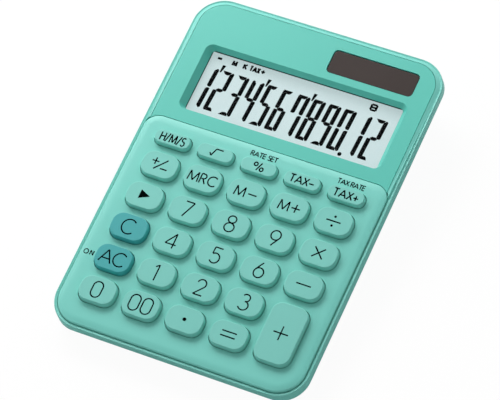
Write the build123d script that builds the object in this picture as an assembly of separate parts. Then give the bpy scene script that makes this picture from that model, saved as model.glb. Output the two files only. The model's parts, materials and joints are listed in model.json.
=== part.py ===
from build123d import *
import math
import os

# Desk calculator with a sloping face.
# Row frame: origin on the desk under the middle of the case, +X to the right, +Y to the back, +Z up.
# Face frame: origin in the middle of the case rim, X right, Y up the slope, Z out of the face.
# Every level below is measured in the face frame, up from the rim, unless it says desk.

# ---- case ----
case_width = 105.0
case_length = 149.5          # along the sloping face
case_corner = 12.5
back_height = 22.8           # desk to the top of the rim at the back
front_height = 9.2           # desk to the top of the rim at the front
side_wall_height = 5.2       # front case, from the rim down to the parting line
wall = 2.0
rim_radius = 0.45
side_draft = 0.2             # each side and the back, over the height of the wall
front_draft = 1.0            # the front wall leans back further
display_share = 3 / 8        # of the case's length, behind the keypad

# ---- keypad ----
columns = 5
full_rows = 5
key_gap_x = 3.2
key_gap_y = 3.35
small_key_gap = 3.4          # between the small keys and the first full row
small_key_length = 6.1
key_side_margin = 7.05       # keypad edge to the outer keys
key_front_margin = 9.35
key_back_margin = 6.15
key_corner_share = 2 / 5     # of the key's length
small_key_corner_share = 4 / 9
key_height = 2.2             # above the keypad surface
key_draft = 0.3              # each side, over the key's height
key_edge = 0.25
key_clearance = 0.3
key_lip = 0.8                # the flange that keeps a key in the case
key_lip_thickness = 0.8
key_wall = 1.1
key_roof = 1.2
key_post_radius = 2.1
key_travel = 1.2
stop_gap = 0.05              # a key's lip to the case above it

keypad_rise = 0.5            # keypad surface above the rim
keypad_thickness = 1.7
keypad_margin = 1.55         # to the side and the front of the case
keypad_front_corner = 11.0
keypad_back_corner = 6.0
keypad_edge_width = 3.4      # the soft edge, down to the level of the rim
keypad_edge = 0.6            # the small round where the soft edge ends
groove_width = 0.5           # between the keypad and the rim
groove_depth = 0.9
rib_clearance = 0.4

# ---- display ----
panel_side_margin = 2.7      # case side to panel side
panel_back_margin = 2.4
panel_corner = 10.0
panel_thickness = 1.2
panel_gap = 0.1
panel_edge = 0.25
shelf_thickness = 1.4        # case floor under the panel
display_x = 0.6              # middle of the window, right of the case's middle
window_side_margin = 7.2     # panel side to window
window_front_margin = 5.7    # keypad to window
window_corner = 3.0
window_depth = 3.0
window_side_slope = 2.15     # how far the side walls come in over the depth
window_end_slope = 1.1
window_floor_corner = 1.6
funnel_wall = 1.2
fit_gap = 0.2
lens_border = 1.4            # lens beyond the opening it closes
lens_thickness = 1.0
lcd_gap = 0.2
polarizer_thickness = 0.2
glass_thickness = 0.7
lcd_ledge = 2.2              # rear glass beyond the front glass, for the ribbon
tray_wall = 1.0
tray_back = 1.2
tray_ear_width = 4.5
tray_ear_length = 7.0
tray_ear_thickness = 1.6
tray_ear_margin = 4.9        # window's end to the middle of an ear
ribbon_width = 50.0
ribbon_thickness = 0.15
ribbon_bond = 3.0            # overlap on the circuit board

# ---- solar cell ----
solar_width = 36.0
solar_length = 10.5
solar_corner = 1.9
solar_side_margin = 7.3      # panel side to the opening
solar_back_margin = 4.6      # panel back to the opening
solar_front_gap = 3.05       # opening to the display window
solar_sink = 0.35            # window face below the panel face
solar_gap = 0.25             # round the window in its opening
solar_flange = 0.8
solar_flange_thickness = 0.6
tape_thickness = 0.15
tape_border = 1.2
cell_thickness = 1.1

# ---- inside ----
membrane_thickness = 0.7
membrane_gap = 0.1           # pressed key lip to the rubber sheet
dome_gap = 0.05
dome_base_radius = 3.6
dome_top_radius = 2.0
dome_wall = 0.45
pill_radius = 1.3
board_thickness = 1.0
board_edge_gap = 1.3         # board edge to the inside of the case
board_back_margin = 0.9      # board beyond the keypad
hole_clearance = 0.4
back_screw_inset = 7.0       # from the case screws

# ---- fasteners ----
screw_radius = 1.0
screw_tip_radius = 0.5
screw_head_radius = 1.8
screw_head_height = 1.2
screw_tip_gap = 0.3          # left free at the end of a pilot hole
thread_gap = 0.03
boss_wall = 1.1
case_screw_radius = 1.1
case_screw_head_radius = 2.1
case_screw_head_height = 1.4
case_screw_length = 5.0
case_screw_side_margin = 12.5
case_screw_front_margin = 6.55
case_screw_back_margin = 1.5     # in front of the keypad's back edge
screw_seat = 1.8             # cover material under a case screw's head
back_boss_drop = 2.2         # the back bosses reach below the parting line

# ---- rear cover ----
cover_inset = 0.8
cover_taper = 22.0
cover_low_corner = 7.0
cover_wall = 1.8
cover_floor = 1.8
cover_lip_height = 1.0
cover_lip_thickness = 0.7
cover_lip_gap = 0.15
hook_width = 9.0
hook_rise = 2.3
hook_barb = 0.6
label_width = 46.0
label_length = 22.0
label_depth = 0.3

# ---- feet ----
foot_radius = 4.0
foot_height = 1.0            # desk to the underside of the cover
foot_recess = 0.6
foot_side_margin = 17.5
foot_front_margin = 16.75
foot_back_margin = 20.75
foot_edge = 0.3

# ---- power and electronics ----
cell_radius = 5.8            # button cell, 11.6 mm across
button_cell_height = 5.4
battery_side_margin = 30.5   # case side to the middle of the cell
battery_back_margin = 17.6   # board back to the middle of the cell
holder_wall = 1.2
holder_gap = 0.15
holder_slot = 5.0
contact_thickness = 0.25
contact_width = 4.0
contact_gap = 0.05
chip_x = 6.0
chip_radius = 6.0
chip_height = 1.6
can_radius = 2.5             # power capacitor
can_length = 7.0
can_side_margin = 35.0       # board side to the middle of the capacitor
leg_radius = 0.25
leg_spacing = 2.0
leg_bend = 0.5
diode_radius = 0.9
diode_length = 3.4
small_part_size = (2.0, 1.25, 0.8)
small_part_gap = 4.0
lead_radius = 0.5
lead_bend = 2.5
lead_inset = 5.0             # from the ends of the solar cell
lead_board_margin = 7.6      # from the back of the board

# ---- levels and places that follow ----
half_width = case_width / 2
half_length = case_length / 2
slope_rise = (back_height - front_height) / (case_length - 2 * rim_radius)
tilt = math.asin(slope_rise)
parting = -side_wall_height
keypad_top = keypad_rise
keypad_under = keypad_rise - keypad_thickness
key_top = keypad_top + key_height
lip_top = keypad_under - stop_gap
lip_under = lip_top - key_lip_thickness
membrane_top = lip_under - key_travel - membrane_gap
board_top = membrane_top - membrane_thickness
board_under = board_top - board_thickness

inner_half_width = half_width - side_draft - wall
inner_front = -half_length + front_draft + wall
inner_back = half_length - side_draft - wall
inner_corner = case_corner - wall
keypad_half_width = half_width - keypad_margin
keypad_front = -half_length + keypad_margin
keypad_back = half_length - display_share * case_length
panel_half_width = half_width - panel_side_margin
panel_back = half_length - panel_back_margin

keys_width = 2 * (keypad_half_width - key_side_margin)
key_width = (keys_width - (columns - 1) * key_gap_x) / columns
column_pitch = key_width + key_gap_x
first_column_x = (key_width - keys_width) / 2
small_row_y = keypad_back - key_back_margin - small_key_length / 2
rows_back = small_row_y - small_key_length / 2 - small_key_gap
rows_front = keypad_front + key_front_margin
key_length = (rows_back - rows_front - (full_rows - 1) * key_gap_y) / full_rows
row_pitch = key_length + key_gap_y
first_row_y = rows_back - key_length / 2
sheet_half_width = keys_width / 2 + key_lip
sheet_back = small_row_y + small_key_length / 2 + key_lip
sheet_front = rows_front - key_lip

solar_x = panel_half_width - solar_side_margin - solar_width / 2
solar_y = panel_back - solar_back_margin - solar_length / 2
window_width = 2 * (panel_half_width - window_side_margin)
window_back = solar_y - solar_length / 2 - solar_front_gap
window_front = keypad_back + window_front_margin
window_length = window_back - window_front
window_y = (window_back + window_front) / 2
shelf_under = -panel_thickness - shelf_thickness
opening_width = window_width - 2 * window_side_slope
opening_length = window_length - 2 * window_end_slope
lens_top = -window_depth
lens_under = lens_top - lens_thickness
polarizer_top = lens_under - lcd_gap
front_glass_top = polarizer_top - polarizer_thickness
rear_glass_top = front_glass_top - glass_thickness
reflector_top = rear_glass_top - glass_thickness
lcd_under = reflector_top - polarizer_thickness
panel_share = panel_thickness / window_depth
funnel_width = window_width - 2 * panel_share * window_side_slope + 2 * funnel_wall
funnel_length = window_length - 2 * panel_share * window_end_slope + 2 * funnel_wall
lcd_width = funnel_width
lcd_length = funnel_length
lcd_front = window_y - lcd_length / 2 - lcd_ledge
lcd_back = window_y + lcd_length / 2
tray_floor = lcd_under - contact_gap
tray_under = tray_floor - tray_back
tray_half_width = lcd_width / 2 + fit_gap + tray_wall
tray_ear_top = (shelf_under + tray_under + tray_ear_thickness) / 2
tray_ear_under = tray_ear_top - tray_ear_thickness
tray_pilot_end = (shelf_under - panel_thickness) / 2
tray_ear_reach = window_length / 2 - tray_ear_margin
tray_screws_at = [
    (display_x + side * (tray_half_width + tray_ear_width / 2), window_y + end * tray_ear_reach)
    for side in (-1, 1)
    for end in (-1, 1)
]
solar_top = -solar_sink
tape_top = -panel_thickness - solar_flange_thickness
cell_top = tape_top - tape_thickness
cell_under = cell_top - cell_thickness

board_half_width = inner_half_width - board_edge_gap
board_front = inner_front + board_edge_gap
board_back = keypad_back + board_back_margin
case_screw_x = half_width - case_screw_side_margin
case_screw_front_y = -half_length + case_screw_front_margin
case_screw_back_y = keypad_back - case_screw_back_margin
front_boss_end = board_under - contact_gap
back_boss_end = parting - back_boss_drop
case_screws_at = [
    (x, y, end)
    for x in (-case_screw_x, case_screw_x)
    for y, end in ((case_screw_front_y, front_boss_end), (case_screw_back_y, back_boss_end))
]
board_screw_x = sheet_half_width + hole_clearance + screw_radius + boss_wall
board_screw_y = [small_row_y, first_row_y - 1.5 * row_pitch, first_row_y - (full_rows - 1) * row_pitch]
board_screws_at = [(x, y) for x in (-board_screw_x, board_screw_x) for y in board_screw_y]
board_screws_at += [(0, case_screw_front_y)]
board_screws_at += [(side * (case_screw_x - back_screw_inset), case_screw_back_y) for side in (-1, 1)]
hook_x = half_width / 2
foot_x = half_width - foot_side_margin
foot_front_y = foot_front_margin - half_length
foot_back_y = half_length - foot_back_margin

battery_x = battery_side_margin - half_width
battery_y = board_back - battery_back_margin
chip_y = first_row_y - 1.5 * row_pitch
can_x = board_half_width - can_side_margin
can_y = battery_y
diode_x = can_x + 4 * can_radius
diode_y = first_row_y - row_pitch / 2
small_part_y = chip_y - 2 * chip_radius
lead_board_y = board_back - lead_board_margin

rim_back_reach = half_length - rim_radius
face_z = back_height - rim_back_reach * math.sin(tilt) - rim_radius * (1 - math.cos(tilt))
front_reach = rim_back_reach * math.cos(tilt) - rim_radius * math.sin(tilt) + rim_radius
back_reach = (half_length - side_draft) * math.cos(tilt) + side_wall_height * math.sin(tilt)
face_y = (front_reach - back_reach) / 2
face_frame = Location((0, face_y, face_z), (math.degrees(tilt), 0, 0))
nodes = {}


# ---- shapes used more than once ----
def slab(width, length, radius, bottom, top, x=0.0, y=0.0):
    # a rounded rectangle between two levels
    return extrude(Pos(x, y, bottom) * RectangleRounded(width, length, radius), top - bottom)


def block(x_range, y_range, z_range):
    # a plain box between three pairs of limits
    size = [high - low for low, high in (x_range, y_range, z_range)]
    centre = [(high + low) / 2 for low, high in (x_range, y_range, z_range)]
    return Pos(*centre) * Box(*size)


def post(x, y, radius, bottom, top):
    return Pos(x, y, (bottom + top) / 2) * Cylinder(radius, top - bottom)


def tube(x, y, outer, inner, bottom, top):
    return post(x, y, outer, bottom, top) - post(x, y, inner, bottom, top)


def taper_between(lower, lower_level, upper, upper_level):
    # straight sides between two rounded rectangles, each (width, back, front, corner)
    faces = []
    for (width, back, front, corner), level in ((lower, lower_level), (upper, upper_level)):
        faces.append(Pos(0, (back + front) / 2, level) * RectangleRounded(width, back - front, corner))
    return loft(faces, ruled=True)


def keypad_outline(grow):
    # the keypad has tighter corners at the back than at the front
    width = 2 * (keypad_half_width + grow)
    back = keypad_back + grow
    front = keypad_front - grow
    outline = Pos(0, (back + front) / 2) * Rectangle(width, back - front)
    ends = outline.vertices().group_by(Axis.Y)
    outline = fillet(ends[0], keypad_front_corner + grow)
    ends = outline.vertices().sort_by(Axis.Y)[-2:]
    return fillet(ends, keypad_back_corner + grow)


def screws(places, radius, head_radius, head_height, length):
    # pan head screws that point up; a place is the middle of the face under the head
    made = []
    for x, y, seat in places:
        head = post(x, y, head_radius, seat - head_height, seat)
        head = chamfer(head.edges().group_by(Axis.Z)[0], head_height / 4)
        slot_depth = head_height / 2
        for turn in (0, 90):
            slot = Pos(x, y, seat - head_height + slot_depth / 2) * Rot(0, 0, turn)
            head -= slot * Box(head_radius, head_radius / 4, slot_depth)
        thread = post(x, y, radius, seat, seat + length - radius)
        point = Pos(x, y, seat + length - radius / 2) * Cone(radius, screw_tip_radius, radius)
        made.append(head + thread + point)
    return Compound(made)


def wire(route, radius, bend):
    # a round wire along straight runs with equal bends
    path = FilletPolyline(*route, radius=bend)
    start = Plane(origin=path @ 0, z_dir=path % 0)
    return sweep(start * Circle(radius), path=path)


def strip(path, width, thickness):
    # a thin sheet that follows (y, z) points, across the width in X
    upper = [(y, z + thickness / 2) for y, z in path]
    lower = [(y, z - thickness / 2) for y, z in reversed(path)]
    outline = make_face(Polyline(*upper, *lower, close=True))
    section = Plane(origin=(-width / 2, 0, 0), x_dir=(0, 1, 0), z_dir=(1, 0, 0)) * outline
    return extrude(section, width)


# ---- keys ----
def key_layout():
    # name, x, y and length of every key, in rows from the back
    rows = [
        ["sign", "memory_recall", "memory_minus", "memory_plus", "divide"],
        ["backspace", "7", "8", "9", "multiply"],
        ["clear", "4", "5", "6", "minus"],
        ["all_clear", "1", "2", "3", "plus"],
        ["0", "00", "point", "equals"],
    ]
    small_row = ["time", "square_root", "percent", "tax_minus", "tax_plus"]
    layout = []
    for column, name in enumerate(small_row):
        layout.append((name, first_column_x + column * column_pitch, small_row_y, small_key_length))
    for row, names in enumerate(rows):
        for column, name in enumerate(names):
            x = first_column_x + column * column_pitch
            y = first_row_y - row * row_pitch
            if name == "plus":
                layout.append((name, x, y - row_pitch / 2, key_length + row_pitch))
            else:
                layout.append((name, x, y, key_length))
    return layout


def key_corner_for(length):
    if length < key_length:
        return small_key_corner_share * small_key_length
    return key_corner_share * key_length


def make_key(x, y, length):
    corner = key_corner_for(length)
    foot = (key_width, length / 2, -length / 2, corner)
    crown = (key_width - 2 * key_draft, length / 2 - key_draft, -length / 2 + key_draft, corner - key_draft)
    cap = taper_between(foot, keypad_top, crown, key_top)
    cap = fillet(cap.faces().sort_by(Axis.Z)[-1].edges(), key_edge)
    cap += slab(key_width, length, corner, lip_under, keypad_top)
    cap += slab(key_width + 2 * key_lip, length + 2 * key_lip, corner + key_lip, lip_under, lip_top)
    ceiling = key_top - key_roof
    hollow = slab(key_width - 2 * key_wall, length - 2 * key_wall, corner - key_wall, lip_under, ceiling)
    hollow -= post(0, 0, key_post_radius, lip_under, ceiling)
    return Pos(x, y) * (cap - hollow)


# ---- front case ----
def case_top_outline():
    return (case_width, half_length, -half_length, case_corner)


def case_foot_outline():
    width = case_width - 2 * side_draft
    return (width, half_length - side_draft, -half_length + front_draft, case_corner)


def case_inside(bottom, top):
    middle = (inner_back + inner_front) / 2
    return slab(2 * inner_half_width, inner_back - inner_front, inner_corner, bottom, top, 0, middle)


def keypad_pillow():
    # the keypad surface, with a soft edge that is part of a large round and ends level with the rim
    round_radius = (keypad_edge_width**2 + keypad_rise**2) / (2 * keypad_rise)
    grow = round_radius - keypad_edge_width
    body = Pos(0, 0, keypad_top - 2 * round_radius) * extrude(keypad_outline(grow), 2 * round_radius)
    body = fillet(body.faces().sort_by(Axis.Z)[-1].edges(), round_radius)
    body &= Pos(0, 0, keypad_under) * extrude(keypad_outline(0), keypad_thickness)
    outer_edges = [edge for edge in body.edges() if abs(edge.center().Z) < keypad_edge / 2]
    return fillet(outer_edges, keypad_edge)


def key_ribs():
    # a grid of ribs between the keys holds the rubber sheet down on the board
    rib_x = key_gap_x - 2 * key_lip - 2 * rib_clearance
    rib_y = key_gap_y - 2 * key_lip - 2 * rib_clearance
    levels = (membrane_top, keypad_under)
    reach = sheet_half_width
    ribs = []
    for gap in range(columns - 1):
        x = (gap + 1 - columns / 2) * column_pitch
        y_range = (sheet_front, sheet_back)
        ribs.append(block((x - rib_x / 2, x + rib_x / 2), y_range, levels))
    for row in range(full_rows - 1):
        y = first_row_y - (row + 0.5) * row_pitch
        right = reach if row < full_rows - 2 else (columns / 2 - 1) * column_pitch
        ribs.append(block((-reach, right), (y - rib_y / 2, y + rib_y / 2), levels))
    y = (small_row_y - small_key_length / 2 + first_row_y + key_length / 2) / 2
    ribs.append(block((-reach, reach), (y - rib_y / 2, y + rib_y / 2), levels))
    return ribs


def hook_pocket(x):
    # a blind slot in the back wall that takes a hook of the rear cover
    gap = cover_lip_gap
    width = hook_width + 2 * gap
    depth = hook_barb + gap
    levels = (parting + hook_rise - hook_barb - gap, parting + hook_rise + gap)
    return block((x - width / 2, x + width / 2), (inner_back - wall / 2, inner_back + depth), levels)


def make_front_case():
    body = taper_between(case_foot_outline(), parting, case_top_outline(), 0)
    body = fillet(body.faces().sort_by(Axis.Z)[-1].edges(), rim_radius)
    body -= case_inside(parting, keypad_under)
    shelf_front = sheet_back + hole_clearance
    behind_keys = block((-half_width, half_width), (shelf_front, half_length), (shelf_under, 0))
    body += case_inside(shelf_under, keypad_under) & behind_keys
    # pocket for the display panel and the groove round the keypad
    body -= panel_blank(panel_gap, -panel_thickness)
    body -= Pos(0, 0, -groove_depth) * extrude(keypad_outline(groove_width), groove_depth)
    body += keypad_pillow()
    for name, x, y, length in key_layout():
        corner = key_corner_for(length) + key_clearance
        width = key_width + 2 * key_clearance
        body -= slab(width, length + 2 * key_clearance, corner, shelf_under, key_top, x, y)
    # openings under the panel for the window funnel and the solar cell
    body -= slab(*funnel_outline(fit_gap), shelf_under, 0, display_x, window_y)
    body -= slab(*solar_outline(solar_flange + fit_gap), shelf_under, 0, solar_x, solar_y)
    body += key_ribs()
    bosses = []
    pilots = []
    for x, y, end in case_screws_at:
        bosses.append(post(x, y, case_screw_radius + boss_wall, end, keypad_under))
        reach = case_screw_length - screw_seat + screw_tip_gap
        pilots.append(post(x, y, case_screw_radius + thread_gap, end, end + reach))
    for x, y in board_screws_at:
        bosses.append(post(x, y, screw_radius + boss_wall, board_top, keypad_under))
        pilots.append(post(x, y, screw_radius + thread_gap, board_top, keypad_under))
    for x, y in tray_screws_at:
        bosses.append(post(x, y, screw_radius + boss_wall, tray_ear_top, shelf_under))
        pilots.append(post(x, y, screw_radius + thread_gap, tray_ear_top, tray_pilot_end))
    body += bosses
    body -= pilots
    body -= [hook_pocket(x) for x in (-hook_x, hook_x)]
    return body


# ---- display ----
def panel_blank(grow, bottom):
    # everything inside the panel's outline, from a level up to the rim; its front reaches under the keypad
    width = 2 * (panel_half_width + grow)
    back = panel_back + grow
    front = keypad_back - 2 * keypad_back_corner
    length = back - front + panel_corner
    blank = slab(width, length, panel_corner + grow, bottom, 0, 0, back - length / 2)
    return blank & block((-half_width, half_width), (front, half_length), (bottom, 0))


def funnel_outline(grow):
    # outside of the funnel that leads from the panel down to the lens
    return (funnel_width + 2 * grow, funnel_length + 2 * grow, window_corner + grow)


def solar_outline(grow):
    return (solar_width + 2 * grow, solar_length + 2 * grow, solar_corner + grow)


def window_cut():
    top = (window_width, window_length / 2, -window_length / 2, window_corner)
    floor = (opening_width, opening_length / 2, -opening_length / 2, window_floor_corner)
    return Pos(display_x, window_y) * taper_between(floor, lens_top, top, 0)


def make_display_panel():
    panel = panel_blank(0, -panel_thickness)
    panel = fillet(panel.faces().sort_by(Axis.Z)[-1].edges(), panel_edge)
    panel -= Pos(0, 0, -panel_thickness) * extrude(keypad_outline(panel_gap), panel_thickness)
    panel += slab(*funnel_outline(0), lens_top, -panel_thickness, display_x, window_y)
    panel -= window_cut()
    panel -= slab(*solar_outline(0), -panel_thickness, 0, solar_x, solar_y)
    return panel


def make_display_lens():
    width = opening_width + 2 * lens_border
    length = opening_length + 2 * lens_border
    return slab(width, length, window_floor_corner, lens_under, lens_top, display_x, window_y)


def make_lcd_parts():
    corner = window_floor_corner / 4
    middle = (lcd_back + lcd_front) / 2
    width = lcd_width
    length = lcd_length
    ledged = lcd_back - lcd_front
    centre = (display_x, window_y)
    nodes["lcd_polarizer"] = slab(width, length, corner, front_glass_top, polarizer_top, *centre)
    nodes["lcd_front_glass"] = slab(width, length, corner, rear_glass_top, front_glass_top, *centre)
    nodes["lcd_rear_glass"] = slab(width, ledged, corner, reflector_top, rear_glass_top, display_x, middle)
    nodes["lcd_reflector"] = slab(width, length, corner, lcd_under, reflector_top, *centre)


def make_lcd_tray():
    # a tray that holds the lens and the glass up against the case
    middle = (lcd_back + lcd_front) / 2
    inner_width = lcd_width + 2 * fit_gap
    inner_length = lcd_back - lcd_front + 2 * fit_gap
    outer_width = inner_width + 2 * tray_wall
    outer_length = inner_length + 2 * tray_wall
    tray = slab(outer_width, outer_length, tray_wall, tray_under, shelf_under, display_x, middle)
    for x, y in tray_screws_at:
        side = 1 if x > display_x else -1
        near = display_x + side * (tray_half_width - tray_wall / 2)
        far = display_x + side * (tray_half_width + tray_ear_width)
        y_range = (y - tray_ear_length / 2, y + tray_ear_length / 2)
        tray += block(sorted((near, far)), y_range, (tray_ear_under, tray_ear_top))
    tray -= slab(inner_width, inner_length, tray_wall / 2, tray_floor, shelf_under, display_x, middle)
    for x, y in tray_screws_at:
        tray -= post(x, y, screw_radius + fit_gap, tray_under, shelf_under)
    # slot for the ribbon in the front wall
    slot_width = ribbon_width + 4 * fit_gap
    wall_front = middle - outer_length / 2
    slot_levels = (rear_glass_top - fit_gap, shelf_under)
    tray -= block((-slot_width / 2, slot_width / 2), (wall_front, lcd_front), slot_levels)
    return tray


def make_lcd_ribbon():
    on_glass = rear_glass_top + ribbon_thickness / 2
    on_board = board_top + ribbon_thickness / 2
    glass_front = window_y - lcd_length / 2
    path = [
        (glass_front - fit_gap, on_glass),
        (lcd_front - fit_gap, on_glass),
        (board_back, on_board),
        (board_back - ribbon_bond, on_board),
    ]
    return strip(path, ribbon_width, ribbon_thickness)


# ---- solar cell ----
def make_solar_window():
    plug = slab(*solar_outline(-solar_gap), -panel_thickness, solar_top, solar_x, solar_y)
    plug = fillet(plug.faces().sort_by(Axis.Z)[-1].edges(), fit_gap)
    return plug + slab(*solar_outline(solar_flange), tape_top, -panel_thickness, solar_x, solar_y)


def make_solar_tape():
    ring = slab(*solar_outline(0), cell_top, tape_top, solar_x, solar_y)
    return ring - slab(*solar_outline(-tape_border), cell_top, tape_top, solar_x, solar_y)


def make_solar_cell():
    width, length, corner = solar_outline(0)
    return slab(width, length, corner / 4, cell_under, cell_top, solar_x, solar_y)


def make_solar_lead(side):
    # a lead runs down from the cell, under the display tray and up to the board
    x = solar_x + side * (solar_width / 2 - lead_inset)
    board_x = x - side * lead_bend * 2
    run = tray_under - lead_radius - contact_gap
    cross = board_back + lead_bend
    route = [
        (x, solar_y, cell_under),
        (x, solar_y, run),
        (x, cross + 4 * lead_bend, run),
        (board_x, cross, run),
        (board_x, lead_board_y, run),
        (board_x, lead_board_y, board_under),
    ]
    return wire(route, lead_radius, lead_bend * 0.7)


# ---- rubber sheet and circuit board ----
def make_rubber_keypad():
    # one moulded sheet with a hollow dome and a contact pill under every key
    middle = (sheet_back + sheet_front) / 2
    length = sheet_back - sheet_front
    sheet = slab(2 * sheet_half_width, length, key_lip, board_top, membrane_top, 0, middle)
    crown = lip_under - dome_gap
    rise = crown - membrane_top
    room = rise - dome_wall
    pill_under = board_top + key_travel
    domes = []
    rooms = []
    pills = []
    for name, x, y, length in key_layout():
        domes.append(Pos(x, y, membrane_top + rise / 2) * Cone(dome_base_radius, dome_top_radius, rise))
        inner_base = dome_base_radius - dome_wall
        inner_top = dome_top_radius - dome_wall / 2
        rooms.append(Pos(x, y, membrane_top + room / 2) * Cone(inner_base, inner_top, room))
        rooms.append(post(x, y, inner_base, board_top, membrane_top))
        pills.append(post(x, y, pill_radius, pill_under, crown - dome_wall))
    return sheet + domes - rooms + pills


def make_circuit_board():
    board = slab(
        2 * board_half_width,
        board_back - board_front,
        inner_corner - board_edge_gap,
        board_under,
        board_top,
        0,
        (board_back + board_front) / 2,
    )
    holes = []
    for x, y, end in case_screws_at:
        holes.append(post(x, y, case_screw_radius + boss_wall + hole_clearance, board_under, board_top))
    for x, y in board_screws_at:
        holes.append(post(x, y, screw_radius + fit_gap / 2, board_under, board_top))
    return board - holes


def make_chip_blob():
    # a drop of black resin over the chip, under the board
    round_radius = (chip_radius**2 + chip_height**2) / (2 * chip_height)
    ball = Pos(chip_x, chip_y, board_under - chip_height + round_radius) * Sphere(round_radius)
    return ball & post(chip_x, chip_y, chip_radius, board_under - chip_height, board_under)


def make_power_capacitor():
    # a small can lying on the board, with its two legs bent up to it
    level = board_under - can_radius - contact_gap
    can = Pos(can_x, can_y, level) * Rot(90, 0, 0) * Cylinder(can_radius, can_length)
    can = fillet(can.edges(), can_radius / 6)
    back = can_y + can_length / 2
    for x in (can_x - leg_spacing / 2, can_x + leg_spacing / 2):
        end = back + leg_spacing
        can += wire([(x, can_y, level), (x, end, level), (x, end, board_under)], leg_radius, leg_bend)
    return can


def make_diode():
    level = board_under - diode_radius - contact_gap
    body = Pos(diode_x, diode_y, level) * Rot(90, 0, 0) * Cylinder(diode_radius, diode_length)
    for side in (-1, 1):
        end = diode_y + side * (diode_length / 2 + leg_spacing)
        route = [(diode_x, diode_y, level), (diode_x, end, level), (diode_x, end, board_under)]
        body += wire(route, leg_radius, leg_bend)
    return body


def make_chip_capacitors():
    width, length, height = small_part_size
    made = []
    for place in (-2, -1, 1, 2):
        x = chip_x + place * small_part_gap + math.copysign(chip_radius, place)
        x_range = (x - width / 2, x + width / 2)
        y_range = (small_part_y - length / 2, small_part_y + length / 2)
        made.append(block(x_range, y_range, (board_under - height, board_under)))
    return Compound(made)


# ---- battery ----
def battery_levels():
    top = board_under - contact_thickness - contact_gap
    return top - button_cell_height, top


def make_button_cell():
    bottom, top = battery_levels()
    step = button_cell_height / 8
    can = post(battery_x, battery_y, cell_radius, bottom, top - step)
    can = fillet(can.edges().group_by(Axis.Z)[0], step / 2)
    return can + post(battery_x, battery_y, cell_radius * 0.8, top - step, top)


def make_battery_holder():
    bottom, top = battery_levels()
    inner = cell_radius + holder_gap
    outer = inner + holder_wall
    ring = tube(battery_x, battery_y, outer, inner, bottom, board_under)
    slot = holder_slot / 2
    x_range = (battery_x - outer, battery_x)
    ring -= block(x_range, (battery_y - slot, battery_y + slot), (bottom, board_under))
    return ring


def make_battery_contact_negative():
    # a flat tongue between the board and the cell, out through the holder's slot
    slot_end = battery_x - cell_radius - holder_wall - holder_slot
    y_range = (battery_y - contact_width / 4, battery_y + contact_width / 4)
    levels = (board_under - contact_thickness, board_under)
    tongue = block((slot_end, battery_x), y_range, levels)
    return tongue + post(battery_x, battery_y, contact_width / 2, *levels)


def make_battery_contact_positive():
    # a clip from the board, down the right side of the holder and under the cell
    bottom, top = battery_levels()
    outside = battery_x + cell_radius + holder_gap + holder_wall + contact_gap
    y_range = (battery_y - contact_width / 2, battery_y + contact_width / 2)
    under = bottom - contact_gap
    side = block((outside, outside + contact_thickness), y_range, (under - contact_thickness, board_under))
    foot_levels = (board_under - contact_thickness, board_under)
    foot = block((outside, outside + contact_width / 2), y_range, foot_levels)
    finger = block((battery_x, outside + contact_thickness), y_range, (under - contact_thickness, under))
    return side + foot + finger


# ---- rear cover and feet ----
def cover_body(shrink, lift):
    # the tapered tub under the parting line, cut off level with the desk, in the row frame
    depth = back_height
    top_width = case_width - 2 * side_draft - 2 * cover_inset - 2 * shrink
    top_back = half_length - side_draft - cover_inset - shrink
    top_front = -half_length + front_draft + cover_inset + shrink
    top = (top_width, top_back, top_front, case_corner - cover_inset - shrink)
    drop = depth * math.tan(math.radians(cover_taper))
    low_corner = cover_low_corner - shrink / 2
    low = (top_width - 2 * drop, top_back - drop, top_front + drop, low_corner)
    body = face_frame * taper_between(low, parting - depth, top, parting)
    levels = (foot_height + lift, 2 * back_height)
    space = block((-half_width, half_width), (-case_length, case_length), levels)
    return body & space


def feet_places():
    return [(x, y) for x in (-foot_x, foot_x) for y in (foot_front_y, foot_back_y)]


def make_rear_cover():
    cover = cover_body(0, 0) - cover_body(cover_wall, cover_floor)
    # a lip that stands inside the front case
    grow = cover_lip_gap
    middle = (inner_back + inner_front) / 2
    lip_width = 2 * (inner_half_width - grow)
    lip_length = inner_back - inner_front - 2 * grow
    lip_levels = (parting - cover_lip_height, parting + cover_lip_height)
    lip = slab(lip_width, lip_length, inner_corner - grow, *lip_levels, 0, middle)
    thickness = 2 * cover_lip_thickness
    lip_corner = inner_corner - grow - cover_lip_thickness
    lip -= slab(lip_width - thickness, lip_length - thickness, lip_corner, *lip_levels, 0, middle)
    hooks = []
    for x in (-hook_x, hook_x):
        x_range = (x - hook_width / 2, x + hook_width / 2)
        root = inner_back - grow
        top = parting + hook_rise
        hooks.append(block(x_range, (root - cover_lip_thickness, root), (parting - cover_lip_height, top)))
        hooks.append(block(x_range, (root - cover_lip_thickness, root + hook_barb), (top - hook_barb, top)))
    cover += face_frame * (lip + hooks)
    posts = []
    wells = []
    for x, y, end in case_screws_at:
        radius = case_screw_head_radius + hole_clearance
        posts.append(face_frame * post(x, y, radius + boss_wall, end - back_height, end))
        wells.append(face_frame * post(x, y, radius, end - 2 * back_height, end - screw_seat))
        wells.append(face_frame * post(x, y, case_screw_radius + fit_gap, end - 2 * back_height, end))
    cover += [one & cover_body(0, 0) for one in posts]
    cover -= wells
    for x, y in feet_places():
        cover -= post(x, y, foot_radius + fit_gap / 2, foot_height, foot_height + foot_recess)
    label = slab(label_width, label_length, foot_radius / 2, foot_height, foot_height + label_depth)
    return cover - label


def make_rubber_feet():
    made = []
    for x, y in feet_places():
        foot = post(x, y, foot_radius, 0, foot_height + foot_recess)
        made.append(fillet(foot.edges().group_by(Axis.Z)[0], foot_edge))
    return Compound(made)


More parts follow.
